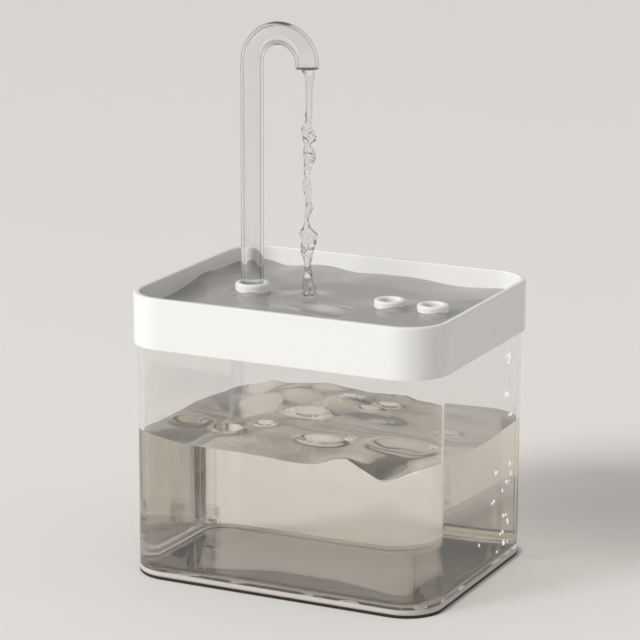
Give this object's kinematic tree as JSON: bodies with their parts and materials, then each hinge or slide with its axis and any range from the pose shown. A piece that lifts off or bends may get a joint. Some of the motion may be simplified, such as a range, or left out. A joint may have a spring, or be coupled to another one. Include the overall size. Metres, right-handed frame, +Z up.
{
  "type": "pet water fountain",
  "caption": "Clear rounded-box tank with a white drinking tray on its rim, a clear swan-neck spout, overflow drain rings, a filter box and a magnetic pump underneath.",
  "frame": {"origin": "middle of the underside, on the surface that the foot ring stands on", "axes": "+Z up, +X to the right along the long side, towards the drains, -Y to the front"},
  "size_m": [0.19, 0.153, 0.3098],
  "materials": {
    "tank": "clear, polished",
    "foot_rubber": "matt",
    "white_gloss": "satin gloss",
    "clear_silicone": "satin",
    "clear_tube": "clear, polished",
    "spring_steel": "bright",
    "white_matte": "matt",
    "black_seal": "matt",
    "hose_silicone": "translucent",
    "stator_steel": "laminated",
    "copper_wire": "enamelled",
    "board_green": "solder resist",
    "ferrite": "ground",
    "ceramic": "ground ceramic",
    "filter_fleece": "needled fleece",
    "carbon_granules": "granules",
    "filter_foam": "open foam"
  },
  "bodies": {
    "tank": {"tank": "tank", "foot_ring": "foot_rubber"},
    "tray": {"tray": "white_gloss", "tray_gasket": "clear_silicone", "collar_washer": "clear_silicone", "spout_socket": "white_matte", "socket_o_rings": "black_seal", "socket_screws": "spring_steel", "outlet_hose": "hose_silicone", "pump_volute": "white_matte", "volute_o_ring": "black_seal", "intake_plate": "white_matte", "volute_screws": "spring_steel", "motor_housing": "white_matte", "motor_cap": "white_matte", "stator_core": "stator_steel", "stator_coils": "copper_wire", "driver_board": "board_green", "cable_gland": "black_seal", "mount_screws": "spring_steel", "rotor_shaft": "ceramic", "shaft_bushes": "black_seal", "drop_tube": "clear_tube", "foot_strainer": "clear_tube"},
    "collar": {"spout_collar": "white_gloss", "collar_clip": "spring_steel"},
    "spout": {"spout_tube": "clear_tube"},
    "rotor": {"rotor_magnet": "ferrite", "impeller": "white_matte"},
    "foot_valve": {"valve_disc": "clear_silicone"},
    "drain_left": {"drain_ring_left": "white_gloss", "drain_o_ring_left": "black_seal"},
    "drain_right": {"drain_ring_right": "white_gloss", "drain_o_ring_right": "black_seal"},
    "filter": {"filter_box": "white_matte", "filter_lid": "white_matte", "filter_cotton": "filter_fleece", "filter_carbon": "carbon_granules", "filter_sponge": "filter_foam"}
  },
  "joints": [
    {"name": "tray_lift", "type": "slide", "parent": "tank", "child": "tray", "axis": [0, 0, 1], "range_m": [0, 0.15]},
    {"name": "spout_swivel", "type": "hinge", "parent": "tray", "child": "collar", "pos_m": [-0.05, 0, 0.148], "axis": [0, 0, 1], "continuous": true},
    {"name": "spout_pull", "type": "slide", "parent": "collar", "child": "spout", "axis": [0, 0, 1], "range_m": [0, 0.036]},
    {"name": "drain_left_lift", "type": "slide", "parent": "tray", "child": "drain_left", "axis": [0, 0, 1], "range_m": [0, 0.012]},
    {"name": "drain_right_lift", "type": "slide", "parent": "tray", "child": "drain_right", "axis": [0, 0, 1], "range_m": [0, 0.012]},
    {"name": "filter_drop", "type": "slide", "parent": "tray", "child": "filter", "axis": [0, 0, -1], "range_m": [0, 0.03]},
    {"name": "rotor_spin", "type": "hinge", "parent": "tray", "child": "rotor", "pos_m": [-0.06, 0.04, 0.12], "axis": [0, 0, 1], "continuous": true},
    {"name": "foot_valve_lift", "type": "slide", "parent": "tray", "child": "foot_valve", "axis": [0, 0, 1], "range_m": [0, 0.002]}
  ]
}
